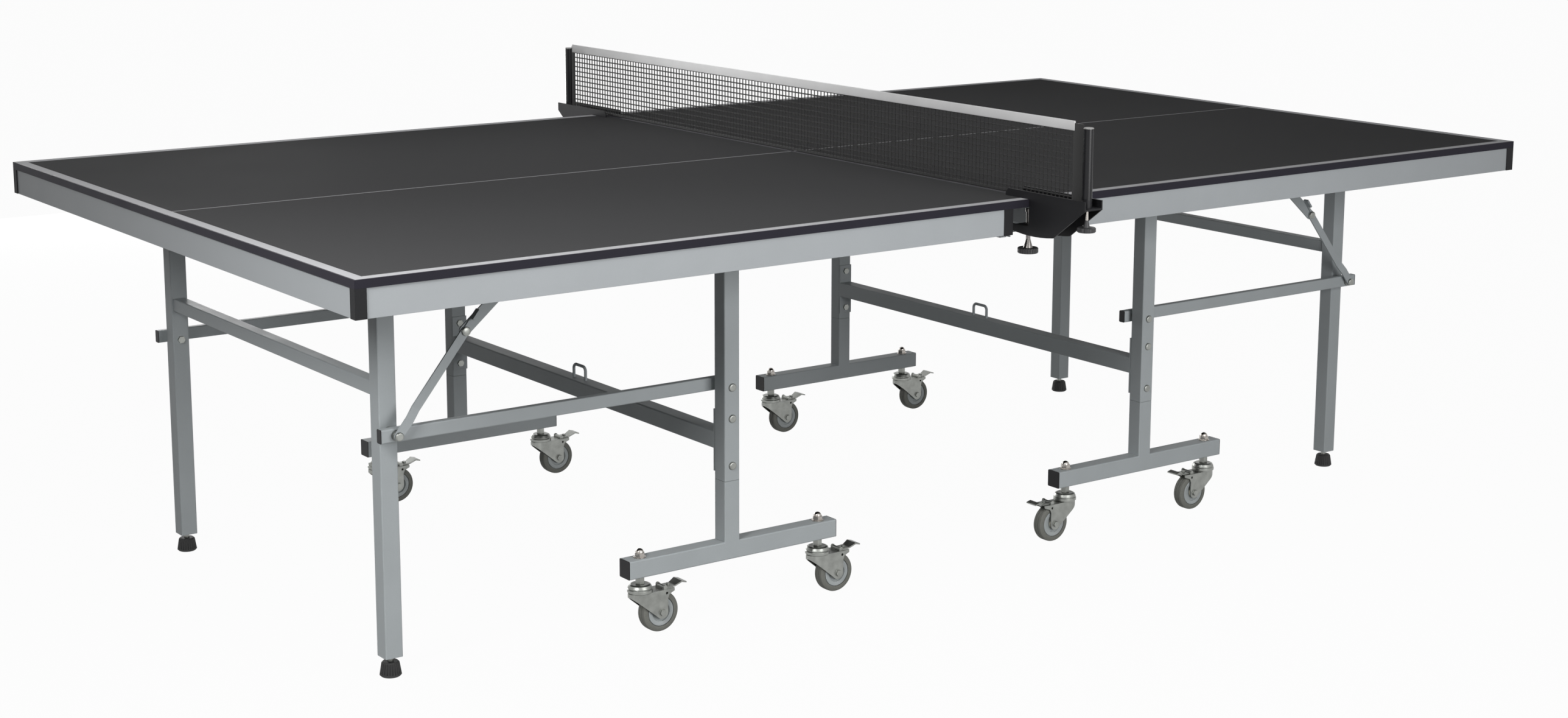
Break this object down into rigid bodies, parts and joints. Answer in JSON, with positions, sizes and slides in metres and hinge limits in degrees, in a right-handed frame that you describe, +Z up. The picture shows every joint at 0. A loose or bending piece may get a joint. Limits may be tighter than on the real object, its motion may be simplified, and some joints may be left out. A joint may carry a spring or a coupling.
{
  "type": "ping pong table",
  "caption": "Rollaway folding table tennis table on caster T-frames with levelling end legs, link bars, braces and a clamp-on net.",
  "frame": {"origin": "on the floor under the middle of the net", "axes": "+X along the table towards the right half, +Y across it to the far side, +Z up"},
  "size_m": [2.74, 1.822, 0.9125],
  "materials": {
    "board": "satin",
    "edge": "satin",
    "apron": "satin",
    "frame": "satin",
    "zinc": "satin",
    "black_metal": "gloss",
    "black_plastic": "satin",
    "black_rubber": "matte",
    "tyre": "matte",
    "net": "matte"
  },
  "bodies": {
    "left_chassis": {"left_t_frame": "frame", "left_feet": "frame", "left_frame_hardware": "zinc"},
    "left_top": {"left_board": "board", "left_edge_moulding": "edge", "left_apron": "apron", "left_corner_caps": "black_plastic", "left_hinge_brackets": "frame"},
    "left_end_legs": {"left_end_frame": "frame", "left_leg_bolts": "zinc"},
    "left_link_bars": {"left_links": "frame"},
    "left_brace_lower": {"left_brace_lower": "frame"},
    "left_brace_upper": {"left_brace_upper": "frame"},
    "left_near_leveler": {"left_near_leveler": "black_rubber"},
    "left_far_leveler": {"left_far_leveler": "black_rubber"},
    "left_near_outer_swivel": {"left_near_outer_fork": "zinc"},
    "left_near_outer_wheel": {"left_near_outer_wheel": "tyre"},
    "left_near_outer_pedal": {"left_near_outer_pedal": "zinc"},
    "left_near_inner_swivel": {"left_near_inner_fork": "zinc"},
    "left_near_inner_wheel": {"left_near_inner_wheel": "tyre"},
    "left_near_inner_pedal": {"left_near_inner_pedal": "zinc"},
    "left_far_outer_swivel": {"left_far_outer_fork": "zinc"},
    "left_far_outer_wheel": {"left_far_outer_wheel": "tyre"},
    "left_far_outer_pedal": {"left_far_outer_pedal": "zinc"},
    "left_far_inner_swivel": {"left_far_inner_fork": "zinc"},
    "left_far_inner_wheel": {"left_far_inner_wheel": "tyre"},
    "left_far_inner_pedal": {"left_far_inner_pedal": "zinc"},
    "right_chassis": {"right_t_frame": "frame", "right_feet": "frame", "right_frame_hardware": "zinc"},
    "right_top": {"right_board": "board", "right_edge_moulding": "edge", "right_apron": "apron", "right_corner_caps": "black_plastic", "right_hinge_brackets": "frame"},
    "right_end_legs": {"right_end_frame": "frame", "right_leg_bolts": "zinc"},
    "right_link_bars": {"right_links": "frame"},
    "right_brace_lower": {"right_brace_lower": "frame"},
    "right_brace_upper": {"right_brace_upper": "frame"},
    "right_near_leveler": {"right_near_leveler": "black_rubber"},
    "right_far_leveler": {"right_far_leveler": "black_rubber"},
    "right_near_outer_swivel": {"right_near_outer_fork": "zinc"},
    "right_near_outer_wheel": {"right_near_outer_wheel": "tyre"},
    "right_near_outer_pedal": {"right_near_outer_pedal": "zinc"},
    "right_near_inner_swivel": {"right_near_inner_fork": "zinc"},
    "right_near_inner_wheel": {"right_near_inner_wheel": "tyre"},
    "right_near_inner_pedal": {"right_near_inner_pedal": "zinc"},
    "right_far_outer_swivel": {"right_far_outer_fork": "zinc"},
    "right_far_outer_wheel": {"right_far_outer_wheel": "tyre"},
    "right_far_outer_pedal": {"right_far_outer_pedal": "zinc"},
    "right_far_inner_swivel": {"right_far_inner_fork": "zinc"},
    "right_far_inner_wheel": {"right_far_inner_wheel": "tyre"},
    "right_far_inner_pedal": {"right_far_inner_pedal": "zinc"},
    "net_set": {"net": "net", "net_clamps": "black_metal"},
    "near_clamp_screw": {"near_clamp_screw": "black_plastic"},
    "near_post_screw": {"near_post_screw": "black_plastic"},
    "far_clamp_screw": {"far_clamp_screw": "black_plastic"},
    "far_post_screw": {"far_post_screw": "black_plastic"}
  },
  "joints": [
    {"name": "left_fold", "type": "hinge", "parent": "left_chassis", "child": "left_top", "pos_m": [-0.52, 0, 0.672], "axis": [0, 1, 0], "range_deg": [0, 90]},
    {"name": "left_end_leg_swing", "type": "hinge", "parent": "left_top", "child": "left_end_legs", "pos_m": [-1.17, 0, 0.672], "axis": [0, -1, 0], "range_deg": [0, 90.5]},
    {"name": "left_link_swing", "type": "hinge", "parent": "left_chassis", "child": "left_link_bars", "pos_m": [-0.52, 0, 0.432], "axis": [0, 1, 0], "range_deg": [0, 90.5]},
    {"name": "left_brace_lower_swing", "type": "hinge", "parent": "left_end_legs", "child": "left_brace_lower", "pos_m": [-1.17, -0.49, 0.432], "axis": [0, 1, 0], "range_deg": [0, 169.54]},
    {"name": "left_brace_upper_swing", "type": "hinge", "parent": "left_top", "child": "left_brace_upper", "pos_m": [-0.883, -0.49, 0.725], "axis": [0, -1, 0], "range_deg": [0, 92.73]},
    {"name": "left_near_leveler_screw", "type": "slide", "parent": "left_end_legs", "child": "left_near_leveler", "axis": [0, 0, 1], "range_m": [-0.006, 0.008]},
    {"name": "left_far_leveler_screw", "type": "slide", "parent": "left_end_legs", "child": "left_far_leveler", "axis": [0, 0, 1], "range_m": [-0.006, 0.008]},
    {"name": "left_near_outer_swivel_turn", "type": "hinge", "parent": "left_chassis", "child": "left_near_outer_swivel", "pos_m": [-0.71, -0.514, 0.095], "axis": [0, 0, 1], "continuous": true},
    {"name": "left_near_outer_wheel_spin", "type": "hinge", "parent": "left_near_outer_swivel", "child": "left_near_outer_wheel", "pos_m": [-0.672, -0.514, 0.0375], "axis": [0, 1, 0], "continuous": true},
    {"name": "left_near_outer_brake", "type": "hinge", "parent": "left_near_outer_swivel", "child": "left_near_outer_pedal", "pos_m": [-0.664, -0.514, 0.0824], "axis": [0, 1, 0], "range_deg": [0, 10], "stiffness_Nm_per_rad": 0.02},
    {"name": "left_near_inner_swivel_turn", "type": "hinge", "parent": "left_chassis", "child": "left_near_inner_swivel", "pos_m": [-0.314, -0.514, 0.095], "axis": [0, 0, 1], "continuous": true},
    {"name": "left_near_inner_wheel_spin", "type": "hinge", "parent": "left_near_inner_swivel", "child": "left_near_inner_wheel", "pos_m": [-0.276, -0.514, 0.0375], "axis": [0, 1, 0], "continuous": true},
    {"name": "left_near_inner_brake", "type": "hinge", "parent": "left_near_inner_swivel", "child": "left_near_inner_pedal", "pos_m": [-0.268, -0.514, 0.0824], "axis": [0, 1, 0], "range_deg": [0, 10], "stiffness_Nm_per_rad": 0.02},
    {"name": "left_far_outer_swivel_turn", "type": "hinge", "parent": "left_chassis", "child": "left_far_outer_swivel", "pos_m": [-0.71, 0.514, 0.095], "axis": [0, 0, 1], "continuous": true},
    {"name": "left_far_outer_wheel_spin", "type": "hinge", "parent": "left_far_outer_swivel", "child": "left_far_outer_wheel", "pos_m": [-0.672, 0.514, 0.0375], "axis": [0, 1, 0], "continuous": true},
    {"name": "left_far_outer_brake", "type": "hinge", "parent": "left_far_outer_swivel", "child": "left_far_outer_pedal", "pos_m": [-0.664, 0.514, 0.0824], "axis": [0, 1, 0], "range_deg": [0, 10], "stiffness_Nm_per_rad": 0.02},
    {"name": "left_far_inner_swivel_turn", "type": "hinge", "parent": "left_chassis", "child": "left_far_inner_swivel", "pos_m": [-0.314, 0.514, 0.095], "axis": [0, 0, 1], "continuous": true},
    {"name": "left_far_inner_wheel_spin", "type": "hinge", "parent": "left_far_inner_swivel", "child": "left_far_inner_wheel", "pos_m": [-0.276, 0.514, 0.0375], "axis": [0, 1, 0], "continuous": true},
    {"name": "left_far_inner_brake", "type": "hinge", "parent": "left_far_inner_swivel", "child": "left_far_inner_pedal", "pos_m": [-0.268, 0.514, 0.0824], "axis": [0, 1, 0], "range_deg": [0, 10], "stiffness_Nm_per_rad": 0.02},
    {"name": "right_fold", "type": "hinge", "parent": "right_chassis", "child": "right_top", "pos_m": [0.52, 0, 0.672], "axis": [0, -1, 0], "range_deg": [0, 90]},
    {"name": "right_end_leg_swing", "type": "hinge", "parent": "right_top", "child": "right_end_legs", "pos_m": [1.17, 0, 0.672], "axis": [0, 1, 0], "range_deg": [0, 90.5]},
    {"name": "right_link_swing", "type": "hinge", "parent": "right_chassis", "child": "right_link_bars", "pos_m": [0.52, 0, 0.432], "axis": [0, -1, 0], "range_deg": [0, 90.5]},
    {"name": "right_brace_lower_swing", "type": "hinge", "parent": "right_end_legs", "child": "right_brace_lower", "pos_m": [1.17, -0.49, 0.432], "axis": [0, -1, 0], "range_deg": [0, 169.54]},
    {"name": "right_brace_upper_swing", "type": "hinge", "parent": "right_top", "child": "right_brace_upper", "pos_m": [0.883, -0.49, 0.725], "axis": [0, 1, 0], "range_deg": [0, 92.73]},
    {"name": "right_near_leveler_screw", "type": "slide", "parent": "right_end_legs", "child": "right_near_leveler", "axis": [0, 0, 1], "range_m": [-0.006, 0.008]},
    {"name": "right_far_leveler_screw", "type": "slide", "parent": "right_end_legs", "child": "right_far_leveler", "axis": [0, 0, 1], "range_m": [-0.006, 0.008]},
    {"name": "right_near_outer_swivel_turn", "type": "hinge", "parent": "right_chassis", "child": "right_near_outer_swivel", "pos_m": [0.71, -0.514, 0.095], "axis": [0, 0, 1], "continuous": true},
    {"name": "right_near_outer_wheel_spin", "type": "hinge", "parent": "right_near_outer_swivel", "child": "right_near_outer_wheel", "pos_m": [0.672, -0.514, 0.0375], "axis": [0, 1, 0], "continuous": true},
    {"name": "right_near_outer_brake", "type": "hinge", "parent": "right_near_outer_swivel", "child": "right_near_outer_pedal", "pos_m": [0.664, -0.514, 0.0824], "axis": [0, -1, 0], "range_deg": [0, 10], "stiffness_Nm_per_rad": 0.02},
    {"name": "right_near_inner_swivel_turn", "type": "hinge", "parent": "right_chassis", "child": "right_near_inner_swivel", "pos_m": [0.314, -0.514, 0.095], "axis": [0, 0, 1], "continuous": true},
    {"name": "right_near_inner_wheel_spin", "type": "hinge", "parent": "right_near_inner_swivel", "child": "right_near_inner_wheel", "pos_m": [0.276, -0.514, 0.0375], "axis": [0, 1, 0], "continuous": true},
    {"name": "right_near_inner_brake", "type": "hinge", "parent": "right_near_inner_swivel", "child": "right_near_inner_pedal", "pos_m": [0.268, -0.514, 0.0824], "axis": [0, -1, 0], "range_deg": [0, 10], "stiffness_Nm_per_rad": 0.02},
    {"name": "right_far_outer_swivel_turn", "type": "hinge", "parent": "right_chassis", "child": "right_far_outer_swivel", "pos_m": [0.71, 0.514, 0.095], "axis": [0, 0, 1], "continuous": true},
    {"name": "right_far_outer_wheel_spin", "type": "hinge", "parent": "right_far_outer_swivel", "child": "right_far_outer_wheel", "pos_m": [0.748, 0.514, 0.0375], "axis": [0, 1, 0], "continuous": true},
    {"name": "right_far_outer_brake", "type": "hinge", "parent": "right_far_outer_swivel", "child": "right_far_outer_pedal", "pos_m": [0.756, 0.514, 0.0824], "axis": [0, 1, 0], "range_deg": [0, 10], "stiffness_Nm_per_rad": 0.02},
    {"name": "right_far_inner_swivel_turn", "type": "hinge", "parent": "right_chassis", "child": "right_far_inner_swivel", "pos_m": [0.314, 0.514, 0.095], "axis": [0, 0, 1], "continuous": true},
    {"name": "right_far_inner_wheel_spin", "type": "hinge", "parent": "right_far_inner_swivel", "child": "right_far_inner_wheel", "pos_m": [0.352, 0.514, 0.0375], "axis": [0, 1, 0], "continuous": true},
    {"name": "right_far_inner_brake", "type": "hinge", "parent": "right_far_inner_swivel", "child": "right_far_inner_pedal", "pos_m": [0.36, 0.514, 0.0824], "axis": [0, 1, 0], "range_deg": [0, 10], "stiffness_Nm_per_rad": 0.02},
    {"name": "left_roll", "type": "slide", "parent": "left_chassis", "child": "net_set", "axis": [1, 0, 0], "range_m": [0, 0.79]},
    {"name": "right_roll", "type": "slide", "parent": "net_set", "child": "right_chassis", "axis": [1, 0, 0], "range_m": [0, 0.79]},
    {"name": "near_clamp_turn", "type": "slide", "parent": "net_set", "child": "near_clamp_screw", "axis": [0, 0, 1], "range_m": [-0.015, 0.0075]},
    {"name": "near_post_turn", "type": "slide", "parent": "net_set", "child": "near_post_screw", "axis": [0, 0, 1], "range_m": [-0.02, 0]},
    {"name": "far_clamp_turn", "type": "slide", "parent": "net_set", "child": "far_clamp_screw", "axis": [0, 0, 1], "range_m": [-0.015, 0.0075]},
    {"name": "far_post_turn", "type": "slide", "parent": "net_set", "child": "far_post_screw", "axis": [0, 0, 1], "range_m": [-0.02, 0]}
  ],
  "couplings": [
    {"joint": "left_end_leg_swing", "follows": "left_fold", "ratio": 1},
    {"joint": "left_link_swing", "follows": "left_fold", "ratio": 1},
    {"joint": "left_brace_lower_swing", "follows": "left_fold", "ratio": 1.8782},
    {"joint": "left_brace_upper_swing", "follows": "left_fold", "ratio": 1.0247},
    {"joint": "right_end_leg_swing", "follows": "right_fold", "ratio": 1},
    {"joint": "right_link_swing", "follows": "right_fold", "ratio": 1},
    {"joint": "right_brace_lower_swing", "follows": "right_fold", "ratio": 1.8782},
    {"joint": "right_brace_upper_swing", "follows": "right_fold", "ratio": 1.0247},
    {"joint": "left_roll", "follows": "left_fold", "m_per_rad": 0.5},
    {"joint": "right_roll", "follows": "right_fold", "m_per_rad": 0.5}
  ]
}
